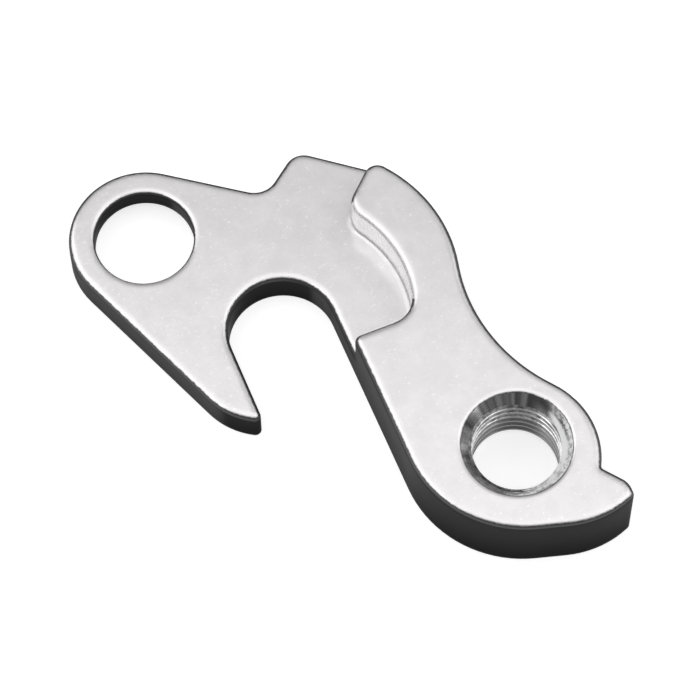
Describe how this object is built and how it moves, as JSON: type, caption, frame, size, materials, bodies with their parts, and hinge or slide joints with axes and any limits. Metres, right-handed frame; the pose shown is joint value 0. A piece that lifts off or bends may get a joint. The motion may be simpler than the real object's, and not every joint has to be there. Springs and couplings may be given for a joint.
{
  "type": "derailleur hanger",
  "caption": "Flat aluminium hook plate with an axle slot and a bolt eye, stepped up to a thick arm with a threaded hole and stop lug, that carries a rear derailleur on a bicycle frame.",
  "frame": {"origin": "on the axis of the derailleur hole, in the plane of the flat back", "axes": "+Z out of the front face, square to the plate; +Y along the axle slot, from its open end to its closed end; +X from the slot across the arm"},
  "size_m": [0.0425, 0.0564, 0.0085],
  "materials": {
    "tumbled_aluminium": "matte silver, bead blasted and tumbled, with darker edge walls and a bright cut thread"
  },
  "bodies": {
    "root": {"derailleur_hanger": "tumbled_aluminium"}
  },
  "joints": []
}
